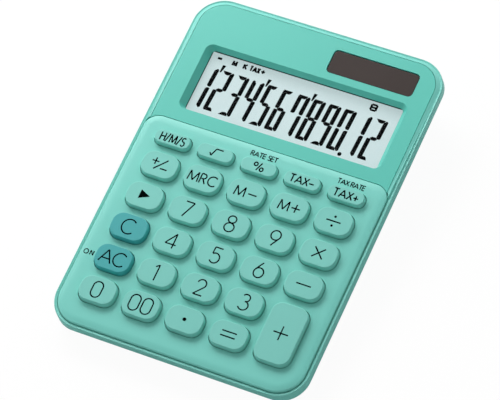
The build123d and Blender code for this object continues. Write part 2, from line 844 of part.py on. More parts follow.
# ---- assembly ----
for name, x, y, length in key_layout():
    nodes["key_" + name] = make_key(x, y, length)
nodes["front_case"] = make_front_case()
nodes["display_panel"] = make_display_panel()
nodes["display_lens"] = make_display_lens()
make_lcd_parts()
nodes["lcd_tray"] = make_lcd_tray()
nodes["lcd_ribbon"] = make_lcd_ribbon()
nodes["lcd_tray_screws"] = screws(
    [(x, y, tray_ear_under) for x, y in tray_screws_at],
    screw_radius,
    screw_head_radius,
    screw_head_height,
    tray_pilot_end - screw_tip_gap - tray_ear_under,
)
nodes["solar_window"] = make_solar_window()
nodes["solar_tape"] = make_solar_tape()
nodes["solar_cell"] = make_solar_cell()
nodes["solar_lead_positive"] = make_solar_lead(1)
nodes["solar_lead_negative"] = make_solar_lead(-1)
nodes["rubber_keypad"] = make_rubber_keypad()
nodes["circuit_board"] = make_circuit_board()
nodes["board_screws"] = screws(
    [(x, y, board_under) for x, y in board_screws_at],
    screw_radius,
    screw_head_radius,
    screw_head_height,
    keypad_under - screw_tip_gap - board_under,
)
nodes["case_screws"] = screws(
    [(x, y, end - screw_seat) for x, y, end in case_screws_at],
    case_screw_radius,
    case_screw_head_radius,
    case_screw_head_height,
    case_screw_length,
)
nodes["chip_blob"] = make_chip_blob()
nodes["power_capacitor"] = make_power_capacitor()
nodes["protection_diode"] = make_diode()
nodes["chip_capacitors"] = make_chip_capacitors()
nodes["button_cell"] = make_button_cell()
nodes["battery_holder"] = make_battery_holder()
nodes["battery_contact_negative"] = make_battery_contact_negative()
nodes["battery_contact_positive"] = make_battery_contact_positive()

nodes = {name: face_frame * shape for name, shape in nodes.items()}
nodes["rear_cover"] = make_rear_cover()
nodes["rubber_feet"] = make_rubber_feet()

os.makedirs("parts", exist_ok=True)
for name, shape in nodes.items():
    export_step(shape, os.path.join("parts", name + ".step"))
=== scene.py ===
import json
import math

import bmesh
import bpy
from mathutils import Matrix, Vector
from mathutils.bvhtree import BVHTree

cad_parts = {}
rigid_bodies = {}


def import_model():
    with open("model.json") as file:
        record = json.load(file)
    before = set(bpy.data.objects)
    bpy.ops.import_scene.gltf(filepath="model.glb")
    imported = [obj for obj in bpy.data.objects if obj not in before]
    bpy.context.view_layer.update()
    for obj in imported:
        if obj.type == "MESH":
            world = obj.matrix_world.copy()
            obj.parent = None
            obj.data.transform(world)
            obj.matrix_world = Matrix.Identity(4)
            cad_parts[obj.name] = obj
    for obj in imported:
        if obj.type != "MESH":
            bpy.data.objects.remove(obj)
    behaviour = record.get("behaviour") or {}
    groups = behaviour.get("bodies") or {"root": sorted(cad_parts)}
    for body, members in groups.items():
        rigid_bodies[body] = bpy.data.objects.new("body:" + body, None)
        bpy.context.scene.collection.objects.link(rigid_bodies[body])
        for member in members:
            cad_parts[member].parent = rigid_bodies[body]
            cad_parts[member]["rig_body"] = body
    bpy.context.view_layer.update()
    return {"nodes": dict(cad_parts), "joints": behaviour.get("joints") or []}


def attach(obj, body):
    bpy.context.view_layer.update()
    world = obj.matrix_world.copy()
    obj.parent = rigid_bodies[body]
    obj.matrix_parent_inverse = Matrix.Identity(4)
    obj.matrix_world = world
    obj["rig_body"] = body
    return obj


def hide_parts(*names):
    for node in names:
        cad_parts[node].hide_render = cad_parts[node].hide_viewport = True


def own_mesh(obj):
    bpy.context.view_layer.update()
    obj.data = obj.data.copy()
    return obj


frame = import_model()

nodes = frame["nodes"]
mm = 0.001


# the sloping face: X right, Y up the slope, Z out of it, in millimetres from the middle of the rim
pressAxis = Vector(frame["joints"][0]["axis"]).normalized()
faceTilt = math.atan2(-pressAxis.y, pressAxis.z)
slope = Matrix.Rotation(faceTilt, 4, "X")


def turnedBox(nodeName):
    # a node's box along the slope, in metres
    level = slope.inverted()
    points = [level @ vert.co for vert in nodes[nodeName].data.vertices]
    low = Vector([min(point[i] for point in points) for i in range(3)])
    high = Vector([max(point[i] for point in points) for i in range(3)])
    return low, high


caseLow, caseHigh = turnedBox("front_case")
panelLow, panelHigh = turnedBox("display_panel")
rimMiddle = Vector((0, (caseLow.y + caseHigh.y) / 2, panelHigh.z))
faceFrame = Matrix.Translation(slope @ rimMiddle) @ slope @ Matrix.Scale(mm, 4)


def faceBox(nodeName):
    # a node's box on the sloping face, in millimetres
    low, high = turnedBox(nodeName)
    return (low - rimMiddle) / mm, (high - rimMiddle) / mm


keypadTop = faceBox("front_case")[1].z
print("frame: slope", round(math.degrees(faceTilt), 2), "degrees")
print("keypad:", round(keypadTop, 3), "mm above the rim")


# making pieces
faceAreaShare = 90  # how much a large face turns the shading of its edges


def addPiece(bm, name, material, body, smoothAngle=None):
    # a mesh drawn on the sloping face becomes a piece that rides on a body
    bmesh.ops.transform(bm, matrix=faceFrame, verts=bm.verts)
    if smoothAngle is not None:
        for face in bm.faces:
            face.smooth = True
        for edge in bm.edges:
            bend = edge.calc_face_angle(0) if edge.is_manifold else math.pi
            edge.smooth = bend < math.radians(smoothAngle)
    mesh = bpy.data.meshes.new(name)
    bm.to_mesh(mesh)
    bm.free()
    mesh.materials.append(material)
    piece = bpy.data.objects.new(name, mesh)
    bpy.context.scene.collection.objects.link(piece)
    if smoothAngle is not None:
        weighted = piece.modifiers.new("weighted", "WEIGHTED_NORMAL")
        weighted.keep_sharp = True
        weighted.weight = faceAreaShare
    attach(piece, body)
    return piece


def pullUp(bm, faces, height):
    # extrudes flat faces upwards: the new corners and the faces that they carry
    made = bmesh.ops.extrude_face_region(bm, geom=faces)
    corners = [item for item in made["geom"] if isinstance(item, bmesh.types.BMVert)]
    bmesh.ops.translate(bm, vec=(0, 0, height), verts=corners)
    return corners, [item for item in made["geom"] if isinstance(item, bmesh.types.BMFace)]


plateCornerSteps = 10


def roundedPlate(bm, width, length, corner, level):
    # one flat face with four round corners
    made = bmesh.ops.create_grid(bm, x_segments=1, y_segments=1, size=0.5)
    verts = made["verts"]
    bmesh.ops.scale(bm, vec=(width, length, 1), verts=verts)
    bmesh.ops.translate(bm, vec=(0, 0, level), verts=verts)
    rounded = bmesh.ops.bevel(
        bm, geom=verts, offset=corner, offset_type="OFFSET",
        segments=plateCornerSteps, profile=0.5, affect="VERTICES", material=-1,
    )
    return [face for face in bm.faces if len(face.verts) > 4 or face in rounded["faces"]][0]


# the case's outline, and how its moulding runs down towards it, in millimetres
outline = {
    "halfWidth": (caseHigh.x - caseLow.x) / 2 / mm,
    "halfLength": (caseHigh.y - caseLow.y) / 2 / mm,
    "corner": 12.5,
    "rimDepth": 0.6,  # the rim's top lies no deeper
    "bedDepth": 1,  # and the bed of the groove round the keypad no deeper than this
    # distance in from the outline, the same once moved, and how far that place falls
    "ledge": ((0, 0, 0.7), (0.12, 0.12, 0.66), (0.28, 0.3, 0.57), (0.45, 0.85, 0.82), (1.3, 1.3, 0.82)),
    "gutter": ((0.45, 0.85, 0.82), (0.99, 1.15, 0.7), (1.52, 1.6, 0.45), (2.06, 2.1, 0.22), (2.7, 2.7, 0)),
    "ringOut": (0.4, 0.5),  # the rim's flat top lies between these two rings
    "ringIn": (2.2, 3),
    "ringCuts": 3,
    "grooveBed": (0.9, 1.55),
    "grooveFall": 0.6,
    "wallDepth": 5.2,
    "skin": 1.7,  # the outer skin of the wall lies no further in
    "frontFoot": 0.55,  # how far the foot of the front wall stands out
    "tighter": 1.5,  # how much less round the corners are at the foot
}


def placeOnOutline(x, y):
    # how far a point lies in from the outline, and the direction outwards
    corner = outline["corner"]
    pastX = max(abs(x) - outline["halfWidth"] + corner, 0)
    pastY = max(abs(y) - outline["halfLength"] + corner, 0)
    past = Vector((math.copysign(pastX, x), math.copysign(pastY, y)))
    if past.length == 0:
        return corner, past
    return corner - past.length, past.normalized()


def within(value, limits):
    low, high = limits
    return low <= value <= high


def followProfile(vert, depth, outwards, profile):
    # moves a point of the rim in or out and down
    for (start, newStart, fallStart), (end, newEnd, fallEnd) in zip(profile, profile[1:]):
        if start <= depth < end:
            along = (depth - start) / (end - start)
            vert.co.xy += outwards * (depth - newStart - (newEnd - newStart) * along)
            vert.co.z -= fallStart + (fallEnd - fallStart) * along
            return


def cutRimTop(bm):
    # extra rings between the rim's edge and the panel
    crossing = []
    for edge in bm.edges:
        if min(vert.co.z for vert in edge.verts) > -outline["rimDepth"]:
            depths = sorted(placeOnOutline(vert.co.x, vert.co.y)[0] for vert in edge.verts)
            if within(depths[0], outline["ringOut"]) and within(depths[1], outline["ringIn"]):
                crossing.append(edge)
    made = bmesh.ops.subdivide_edges(bm, edges=crossing, cuts=outline["ringCuts"])
    return {item for item in made["geom_inner"] if isinstance(item, bmesh.types.BMVert)}


def shapeWall(bm):
    # a rim that falls to a ledge, and walls whose foot stands out at the front and the corners
    added = cutRimTop(bm)
    for vert in bm.verts:
        depth, outwards = placeOnOutline(vert.co.x, vert.co.y)
        share = min(max(-vert.co.z / outline["wallDepth"], 0), 1)
        if vert.co.z > -outline["rimDepth"]:
            profile = outline["gutter"] if vert in added else outline["ledge"]
            followProfile(vert, max(depth, 0), outwards, profile)
        elif vert.co.z > -outline["bedDepth"] and within(depth, outline["grooveBed"]):
            vert.co.z -= outline["grooveFall"]
        if depth < outline["skin"]:
            vert.co.y -= outline["frontFoot"] * max(-outwards.y, 0) * share
            if outwards.x and outwards.y:
                vert.co.x += outline["tighter"] * (math.copysign(1, outwards.x) - outwards.x) * share
                vert.co.y += outline["tighter"] * (math.copysign(1, outwards.y) - outwards.y) * share


joining = {"weld": 0.000002, "shortest": 0.0000005, "smoothAngle": 34}  # in metres and degrees


def smoothCopy(nodeName, name, material, reshape=None):
    # the node's own shape with its triangles joined, so that its rounds shade smoothly
    bm = bmesh.new()
    bm.from_mesh(nodes[nodeName].data)
    bmesh.ops.remove_doubles(bm, verts=bm.verts, dist=joining["weld"])
    bmesh.ops.dissolve_degenerate(bm, edges=bm.edges, dist=joining["shortest"])
    bmesh.ops.transform(bm, matrix=faceFrame.inverted(), verts=bm.verts)
    if reshape:
        reshape(bm)
    body = nodes[nodeName]["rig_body"]
    piece = addPiece(bm, name, material, body, smoothAngle=joining["smoothAngle"])
    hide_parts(nodeName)


# what a finish has unless it says otherwise
plainFinish = {
    "drift": 0.03,  # how far the shade strays, as a share
    "driftScale": 40.0,
    "grainScale": 4000.0,
    "grainStrength": 0.15,
    "grainDepth": 0.00002,
    "glossDrift": 0.04,
    "metallic": 0.0,
    "specular": 0.5,
}


def makeMouldGrain():
    # spark-eroded mould grain: a fine height and a slow change of shade, both from 0 to 1
    group = bpy.data.node_groups.new("mouldGrain", "ShaderNodeTree")
    for way, socketNames in (("INPUT", ("Grain Scale", "Drift Scale")), ("OUTPUT", ("Height", "Drift"))):
        for socketName in socketNames:
            group.interface.new_socket(socketName, in_out=way, socket_type="NodeSocketFloat")
    given = group.nodes.new("NodeGroupInput")
    result = group.nodes.new("NodeGroupOutput")
    place = group.nodes.new("ShaderNodeTexCoord")
    for scaleName, resultName, detail in (("Grain Scale", "Height", 3.0), ("Drift Scale", "Drift", 2.0)):
        noise = group.nodes.new("ShaderNodeTexNoise")
        noise.inputs["Detail"].default_value = detail
        group.links.new(place.outputs["Object"], noise.inputs["Vector"])
        group.links.new(given.outputs[scaleName], noise.inputs["Scale"])
        group.links.new(noise.outputs["Fac"], result.inputs[resultName])
    return group


mouldGrain = makeMouldGrain()


def shade(red, green, blue, factor=1.0):
    # a colour as it is picked on a screen, in the linear values that a shader takes
    linear = []
    for value in (red, green, blue):
        value = value / 255
        value = value / 12.92 if value <= 0.04045 else ((value + 0.055) / 1.055) ** 2.4
        linear.append(min(value * factor, 1.0))
    return (*linear, 1.0)


def newMaterial(name):
    material = bpy.data.materials.new(name)
    material.use_nodes = True
    shader = material.node_tree.nodes["Principled BSDF"]
    return material, material.node_tree.nodes, material.node_tree.links, shader


def mixColours(treeNodes, links, factor, first, second):
    # a mix node's colour sockets come after those for numbers and vectors
    mix = treeNodes.new("ShaderNodeMix")
    mix.data_type = "RGBA"
    mix.inputs[6].default_value = first
    mix.inputs[7].default_value = second
    links.new(factor, mix.inputs[0])
    return mix.outputs[2]


def mathNode(treeNodes, links, operation, first, second):
    # the second value is a socket or a plain number
    node = treeNodes.new("ShaderNodeMath")
    node.operation = operation
    links.new(first, node.inputs[0])
    if isinstance(second, float):
        node.inputs[1].default_value = second
    else:
        links.new(second, node.inputs[1])
    return node.outputs[0]


def grainedMaterial(name, ownFinish):
    # any moulded, cast, drawn or printed surface: base shade, drift of shade, grain and gloss
    finish = {**plainFinish, **ownFinish}
    material, treeNodes, links, shader = newMaterial(name)
    grain = treeNodes.new("ShaderNodeGroup")
    grain.node_tree = mouldGrain
    grain.inputs["Grain Scale"].default_value = finish["grainScale"]
    grain.inputs["Drift Scale"].default_value = finish["driftScale"]
    drift = grain.outputs["Drift"]
    pale = shade(*finish["colour"], 1 + finish["drift"])
    deep = shade(*finish["colour"], 1 - finish["drift"])
    links.new(mixColours(treeNodes, links, drift, deep, pale), shader.inputs["Base Color"])
    gloss = treeNodes.new("ShaderNodeMapRange")
    gloss.inputs["To Min"].default_value = finish["roughness"] - finish["glossDrift"]
    gloss.inputs["To Max"].default_value = min(finish["roughness"] + finish["glossDrift"], 1.0)
    links.new(drift, gloss.inputs["Value"])
    links.new(gloss.outputs["Result"], shader.inputs["Roughness"])
    bump = treeNodes.new("ShaderNodeBump")
    bump.inputs["Strength"].default_value = finish["grainStrength"]
    bump.inputs["Distance"].default_value = finish["grainDepth"]
    links.new(grain.outputs["Height"], bump.inputs["Height"])
    links.new(bump.outputs["Normal"], shader.inputs["Normal"])
    shader.inputs["Metallic"].default_value = finish["metallic"]
    shader.inputs["Specular IOR Level"].default_value = finish["specular"]
    if "glow" in finish:
        shader.inputs["Emission Color"].default_value = shade(*finish["colour"])
        shader.inputs["Emission Strength"].default_value = finish["glow"]
    if "alpha" in finish:
        shader.inputs["Alpha"].default_value = finish["alpha"]
    return material


finishes = {
    "casePlastic": {"colour": (122, 209, 197), "roughness": 0.42, "specular": 0.35, "grainStrength": 0.2},
    "panelPlastic": {"colour": (79, 190, 175), "roughness": 0.4, "grainStrength": 0.15},
    "coverPlastic": {
        "colour": (106, 198, 184), "roughness": 0.55, "specular": 0.35, "grainStrength": 0.5,
        "grainScale": 2500.0,
    },
    "keyPlastic": {"colour": (122, 202, 191), "roughness": 0.45, "specular": 0.35, "grainStrength": 0.15},
    "clearKeyPlastic": {"colour": (60, 163, 165), "roughness": 0.45, "specular": 0.35, "grainStrength": 0.15},
    "clearPlastic": {"colour": (50, 58, 58), "roughness": 0.08, "alpha": 0.05, "grainStrength": 0.02},
    # a real display only reflects: this film gives off light, to stay bright and even in its window
    "polarizerFilm": {
        "colour": (132, 145, 146), "roughness": 0.5, "drift": 0.01, "specular": 0.2, "glow": 1.98,
    },
    # painted shade: a dark teal for the border that stands in for the shadow under the window's edge
    "paintedShadeInk": {"colour": (26, 74, 66), "roughness": 0.7, "specular": 0.1},
    "segmentInk": {"colour": (0, 0, 1), "roughness": 0.8, "specular": 0.0},
    "legendInk": {"colour": (4, 9, 8), "roughness": 0.8, "specular": 0.0},
    "solarTint": {"colour": (54, 44, 41), "roughness": 0.22, "specular": 0.3},
    "displayGlass": {"colour": (190, 205, 204), "roughness": 0.1, "alpha": 0.35},
    "reflectorFilm": {"colour": (205, 214, 212), "roughness": 0.3, "metallic": 1.0},
    "trayPlastic": {"colour": (60, 62, 64), "roughness": 0.5, "grainStrength": 0.4},
    "ribbonFilm": {"colour": (176, 120, 52), "roughness": 0.3},
    "foamTape": {"colour": (38, 38, 40), "roughness": 0.9, "grainStrength": 0.8, "grainScale": 1500.0},
    "solarGlass": {"colour": (46, 36, 40), "roughness": 0.15},
    "redWire": {"colour": (178, 40, 36), "roughness": 0.45},
    "blackWire": {"colour": (28, 28, 30), "roughness": 0.45},
    "keyRubber": {"colour": (196, 200, 198), "roughness": 0.6, "grainStrength": 0.3},
    "boardLaminate": {"colour": (150, 110, 58), "roughness": 0.5, "grainScale": 1200.0, "drift": 0.08},
    "screwSteel": {"colour": (172, 172, 174), "roughness": 0.32, "metallic": 1.0, "driftScale": 300.0},
    "blackResin": {"colour": (22, 22, 24), "roughness": 0.25},
    "capacitorSleeve": {"colour": (44, 52, 92), "roughness": 0.35},
    "diodeGlass": {"colour": (190, 96, 40), "roughness": 0.15},
    "chipCeramic": {"colour": (168, 140, 104), "roughness": 0.4},
    "cellSteel": {"colour": (205, 206, 208), "roughness": 0.2, "metallic": 1.0},
    "contactSpring": {"colour": (196, 186, 160), "roughness": 0.3, "metallic": 1.0},
    "footRubber": {"colour": (58, 62, 62), "roughness": 0.8, "grainStrength": 0.6, "grainScale": 2500.0},
}
paint = {name: grainedMaterial(name, finish) for name, finish in finishes.items()}
print("materials:", len(paint))


# nodes that keep their own mesh, with a finish on it
innerFinishes = {
    "lcd_polarizer": "polarizerFilm",
    "lcd_front_glass": "displayGlass",
    "lcd_rear_glass": "displayGlass",
    "lcd_reflector": "reflectorFilm",
    "lcd_tray": "trayPlastic",
    "lcd_ribbon": "ribbonFilm",
    "lcd_tray_screws": "screwSteel",
    "solar_tape": "foamTape",
    "solar_cell": "solarGlass",
    "solar_lead_positive": "redWire",
    "solar_lead_negative": "blackWire",
    "circuit_board": "boardLaminate",
    "board_screws": "screwSteel",
    "chip_blob": "blackResin",
    "power_capacitor": "capacitorSleeve",
    "protection_diode": "diodeGlass",
    "chip_capacitors": "chipCeramic",
    "button_cell": "cellSteel",
    "battery_holder": "trayPlastic",
    "battery_contact_negative": "contactSpring",
    "battery_contact_positive": "contactSpring",
}
for nodeName, finishName in innerFinishes.items():
    mesh = nodes[nodeName].data
    mesh.materials.clear()
    mesh.materials.append(paint[finishName])
print("inner nodes:", len(innerFinishes))


# the mouldings and fittings that show
smoothCopy("front_case", "frontCase", paint["casePlastic"], reshape=shapeWall)
smoothCopy("display_panel", "displayPanel", paint["panelPlastic"])
smoothCopy("display_lens", "displayLens", paint["clearPlastic"])
smoothCopy("solar_window", "solarWindow", paint["solarTint"])
smoothCopy("rear_cover", "rearCover", paint["coverPlastic"], reshape=shapeWall)
smoothCopy("rubber_feet", "rubberFeet", paint["footRubber"])
smoothCopy("case_screws", "caseScrews", paint["screwSteel"])
print("mouldings: made")


# keys
keyCap = {
    "lip": 0.8,  # how far the hidden flange stands out round the cap
    "lipHeight": 0.8,
    "draft": 0.3,  # how far each side leans in up to the top
    "corner": 4.28,
    "smallCorner": 2.71,
    "edge": 0.25,  # round along the top edge
    "edgeSteps": 4,
    "smoothAngle": 40,
}
darkKeys = ("key_clear", "key_all_clear")


def makeKey(nodeName):
    low, high = faceBox(nodeName)
    lip = keyCap["lip"]
    lipTop = low.z + keyCap["lipHeight"]
    width = high.x - low.x - 2 * lip
    length = high.y - low.y - 2 * lip
    # the small keys are less than half as long as they are wide
    corner = keyCap["corner"] if length > width / 2 else keyCap["smallCorner"]
    lean = 2 * keyCap["draft"]
    bm = bmesh.new()
    # the flange, the straight part inside the case, then the part that shows
    flange = roundedPlate(bm, width + 2 * lip, length + 2 * lip, corner + lip, low.z)
    corners, (top,) = pullUp(bm, [flange], keyCap["lipHeight"])
    bmesh.ops.inset_region(bm, faces=[top], thickness=lip, use_even_offset=True)
    for height in (keypadTop - lipTop, high.z - keypadTop):
        under = top
        corners, (top,) = pullUp(bm, [under], height)
        bmesh.ops.delete(bm, geom=[under], context="FACES_ONLY")
    bmesh.ops.scale(bm, vec=(1 - lean / width, 1 - lean / length, 1), verts=corners)
    bmesh.ops.bevel(
        bm, geom=list(top.edges), offset=keyCap["edge"], offset_type="OFFSET",
        segments=keyCap["edgeSteps"], profile=0.5, affect="EDGES", material=-1,
    )
    bmesh.ops.recalc_face_normals(bm, faces=bm.faces)
    bmesh.ops.translate(bm, vec=((low.x + high.x) / 2, (low.y + high.y) / 2, 0), verts=bm.verts)
    finishName = "clearKeyPlastic" if nodeName in darkKeys else "keyPlastic"
    angle = keyCap["smoothAngle"]
    piece = addPiece(bm, nodeName + "_cap", paint[finishName], nodeName, smoothAngle=angle)
    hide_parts(nodeName)


keyNames = sorted(name for name in nodes if name.startswith("key_"))
for nodeName in keyNames:
    makeKey(nodeName)
print("keys:", len(keyNames))


# printing: thin strokes of ink, each a flattened tube along a line or an arc
printing = {
    "stroke": 0.56,
    "smallStroke": 0.38,
    "thickness": 0.04,
    "proud": 0.03,  # how far the middle of a printed word's ink stands off the case
    "longestEdge": 0.5,  # longer edges are cut, so that words follow the case's rounds
    "edgeCuts": 3,
    "above": 20,  # a height clear of the case
}


def line(*numbers):
    # straight strokes through (x, y) points, one stroke for each stretch
    points = list(zip(numbers[0::2], numbers[1::2]))
    return [list(pair) for pair in zip(points, points[1:])]


def arc(x, y, radiusX, radiusY, start, end, steps=24):
    # one stroke along part of an ellipse, angles in degrees from +X
    points = []
    for step in range(steps + 1):
        angle = math.radians(start + (end - start) * step / steps)
        points.append((x + radiusX * math.cos(angle), y + radiusY * math.sin(angle)))
    return [points]


def strokeMesh(strokes, width, thickness):
    # every stroke as a flattened tube
    curve = bpy.data.curves.new("strokes", "CURVE")
    curve.dimensions = "3D"
    curve.bevel_depth = width / 2
    curve.bevel_resolution = 1
    curve.use_fill_caps = True
    for points in strokes:
        spline = curve.splines.new("POLY")
        spline.points.add(len(points) - 1)
        for point, (x, y) in zip(spline.points, points):
            point.co = (x, y, 0, 1)
    holder = bpy.data.objects.new("strokes", curve)
    bpy.context.scene.collection.objects.link(holder)
    mesh = bpy.data.meshes.new_from_object(holder)
    bpy.data.objects.remove(holder)
    bm = bmesh.new()
    bm.from_mesh(mesh)
    bpy.data.meshes.remove(mesh)
    bmesh.ops.scale(bm, vec=(1, 1, thickness / width), verts=bm.verts)
    return bm


# letters in strokes, one unit high: width and strokes
letters = {
    "A": (0.9, line(0, 0, 0.45, 1) + line(0.45, 1, 0.9, 0) + line(0.14, 0.32, 0.76, 0.32)),
    "C": (0.82, arc(0.48, 0.5, 0.48, 0.5, 48, 312)),
    "E": (0.5, line(0.5, 1, 0, 1, 0, 0, 0.5, 0) + line(0, 0.52, 0.46, 0.52)),
    "H": (0.66, line(0, 0, 0, 1) + line(0.66, 0, 0.66, 1) + line(0, 0.52, 0.66, 0.52)),
    "K": (0.6, line(0, 0, 0, 1) + line(0.56, 1, 0, 0.42) + line(0.16, 0.58, 0.6, 0)),
    "M": (0.98, line(0, 0, 0.08, 1, 0.49, 0.06, 0.9, 1, 0.98, 0)),
    "N": (0.7, line(0, 0, 0, 1, 0.7, 0, 0.7, 1)),
    "O": (0.96, arc(0.48, 0.5, 0.48, 0.5, 0, 360, 32)),
    "R": (
        0.58,
        line(0, 0, 0, 1, 0.26, 1) + arc(0.26, 0.75, 0.26, 0.25, 90, -90) + line(0, 0.5, 0.26, 0.5, 0.58, 0),
    ),
    "S": (0.52, arc(0.27, 0.76, 0.23, 0.24, 35, 265) + arc(0.25, 0.26, 0.26, 0.26, 85, -150)),
    "T": (0.66, line(0, 1, 0.66, 1) + line(0.33, 1, 0.33, 0)),
    "X": (0.68, line(0.02, 1, 0.68, 0) + line(0.66, 1, 0, 0)),
    "/": (0.42, line(0, -0.05, 0.42, 1.05)),
    "-": (0.62, line(0, 0.42, 0.62, 0.42)),
    "+": (0.62, line(0, 0.42, 0.62, 0.42) + line(0.31, 0.1, 0.31, 0.74)),
    " ": (0.3, []),
}


def word(text, left, right, middle, height, squeeze=1.0):
    # letters spread evenly from left to right
    widths = sum(letters[letter][0] for letter in text) * height * squeeze
    gap = (right - left - widths) / max(len(text) - 1, 1)
    strokes = []
    x = left
    for letter in text:
        letterWidth, letterStrokes = letters[letter]
        for points in letterStrokes:
            strokes.append([(x + px * height * squeeze, middle + (py - 0.5) * height) for px, py in points])
        x += letterWidth * height * squeeze + gap
    return strokes


def inkIsland(bm, points, thickness):
    # a filled shape of ink
    face = bm.faces.new([bm.verts.new(point) for point in points])
    pullUp(bm, [face], thickness)


def dot(x, y, radius):
    # the outline of a round dot
    return arc(x, y, radius, radius, 0, 360, 24)[0][:-1]


# what is printed on the keys, in millimetres from the middle of a key's top
digitStrokes = {
    "0": arc(0, 1.35, 1.95, 1.95, 0, 180) + arc(0, -1.35, 1.95, 1.95, 180, 360)
    + line(1.95, 1.35, 1.95, -1.35) + line(-1.95, 1.35, -1.95, -1.35),
    "1": line(0.2, -3.4, 0.2, 3.3) + line(0.2, 3.3, -1.1, 2.2),
    "2": arc(0.2, 1.5, 1.75, 1.8, 170, -35) + line(1.63, 0.47, -1.6, -3.2) + line(-1.6, -3.2, 2.0, -3.2),
    "3": arc(0.23, 1.8, 1.5, 1.5, 150, -90) + arc(0.2, -1.4, 1.95, 1.85, 90, -155),
    "4": line(1.1, -3.0, 1.1, 3.3) + line(1.1, 3.3, -2.2, -1.35) + line(-2.2, -1.35, 2.2, -1.35),
    "5": line(1.95, 3.35, -1.2, 3.35, -1.25, 0.55) + arc(0.1, -1.1, 1.95, 2.1, 132, -145),
    "6": arc(0.15, -1.1, 1.95, 2.05, 0, 360, 32) + line(0.6, 3.3, -1.5, 0.1),
    "7": line(-1.65, 3.3, 1.9, 3.3) + line(1.9, 3.3, -0.95, -3.15),
    "8": arc(0, 1.93, 1.6, 1.5, 0, 360, 28) + arc(0, -1.5, 1.95, 1.85, 0, 360, 32),
    "9": arc(0.13, 1.33, 1.93, 2.0, 0, 360, 32) + line(1.75, 0.3, -0.32, -3.2),
}


def moved(strokes, x, y):
    return [[(px + x, py + y) for px, py in points] for points in strokes]


islands = {
    "backspace": [[(-1.95, 2.1), (-1.95, -1.75), (2.3, 0.2)]],
    "divide": [dot(0, 1.95, 0.5), dot(0, -1.95, 0.5)],
    "point": [dot(0, 0, 0.75)],
}
legends = {
    "time": word("H/M/S", -4.8, 5.3, 0, 3.5, 0.76),
    "square_root": line(-2.0, -0.4, -1.2, -1.6) + line(-1.2, -1.6, 0, 1.6) + line(0, 1.6, 2.9, 1.6),
    "percent": arc(-1.2, 0.8, 0.7, 0.75, 0, 360, 20) + arc(1.6, -0.9, 0.7, 0.75, 0, 360, 20)
    + line(1.0, 1.7, -0.4, -1.7),
    "tax_minus": word("TAX-", -4.9, 5.0, -0.05, 3.2, 0.95),
    "tax_plus": word("TAX+", -5.0, 5.1, -0.05, 3.2, 0.95),
    "sign": line(-3.5, 1.1, -0.6, 1.1) + line(-2.05, -0.35, -2.05, 2.55)
    + line(2.65, 2.6, -1.75, -2.3) + line(0.75, -1.5, 3.65, -1.5),
    "memory_recall": word("MRC", -5.7, 5.8, 0, 4.1),
    "memory_minus": word("M", -4.3, -0.05, 0, 4.1) + line(1.1, -0.15, 4.6, -0.15),
    "memory_plus": word("M", -4.2, 0.05, 0, 4.1) + line(0.85, 0, 4.35, 0) + line(2.6, -1.75, 2.6, 1.75),
    "divide": line(-2.95, 0, 2.95, 0),
    "backspace": [],
    "multiply": line(-2.15, 2.15, 2.15, -2.15) + line(-2.15, -2.15, 2.15, 2.15),
    "clear": arc(0.1, 0, 2.9, 3.1, 45, 315, 36),
    "minus": line(-3, 0, 3, 0),
    "all_clear": line(-5.25, -2.7, -2.75, 2.7) + line(-2.75, 2.7, -0.3, -2.7)
    + line(-4.45, -1.0, -1.1, -1.0) + arc(2.9, 0, 2.7, 2.8, 45, 315, 36),
    "plus": line(-2.95, 0, 2.95, 0) + line(0, -2.95, 0, 2.95),
    "0": moved(digitStrokes["0"], -0.2, 0),
    "00": moved(digitStrokes["0"], -2.55, 0) + moved(digitStrokes["0"], 2.55, 0),
    "point": [],
    "equals": line(-3, 1, 3, 1) + line(-3, -1, 3, -1),
}
for digit in "123456789":
    legends[digit] = digitStrokes[digit]

for legendName, strokes in legends.items():
    nodeName = "key_" + legendName
    low, high = faceBox(nodeName)
    bm = strokeMesh(strokes, printing["stroke"], printing["thickness"])
    for points in islands.get(legendName, []):
        inkIsland(bm, [(x, y, 0) for x, y in points], printing["thickness"] / 2)
    bmesh.ops.recalc_face_normals(bm, faces=bm.faces)
    bmesh.ops.translate(bm, vec=((low.x + high.x) / 2, (low.y + high.y) / 2, high.z), verts=bm.verts)
    addPiece(bm, "legend_" + legendName, paint["legendInk"], nodeName)

# words on the case: text, left end, right end, middle height and letter height
caseWords = {
    "rateSet": ("RATE SET", -5.8, 5.2, 15.1, 2.0),
    "taxRate": ("TAX RATE", 30.3, 41.5, 15.1, 2.0),
    "on": ("ON", -49.3, -45.3, -44.4, 1.9),
}
caseTree = BVHTree.FromPolygons(
    [faceFrame.inverted() @ vert.co for vert in nodes["front_case"].data.vertices],
    [list(polygon.vertices) for polygon in nodes["front_case"].data.polygons],
)
for wordName, (text, left, right, middle, height) in caseWords.items():
    bm = strokeMesh(word(text, left, right, middle, height), printing["smallStroke"], printing["thickness"])
    longEdges = [edge for edge in bm.edges if edge.calc_length() > printing["longestEdge"]]
    bmesh.ops.subdivide_edges(bm, edges=longEdges, cuts=printing["edgeCuts"])
    for vert in bm.verts:
        start = Vector((vert.co.x, vert.co.y, printing["above"]))
        hit = caseTree.ray_cast(start, Vector((0, 0, -1)))[0]
        vert.co.z += hit.z + printing["proud"]
    addPiece(bm, "words_" + wordName, paint["legendInk"], "case")
print("printing:", len(legends) + len(caseWords))


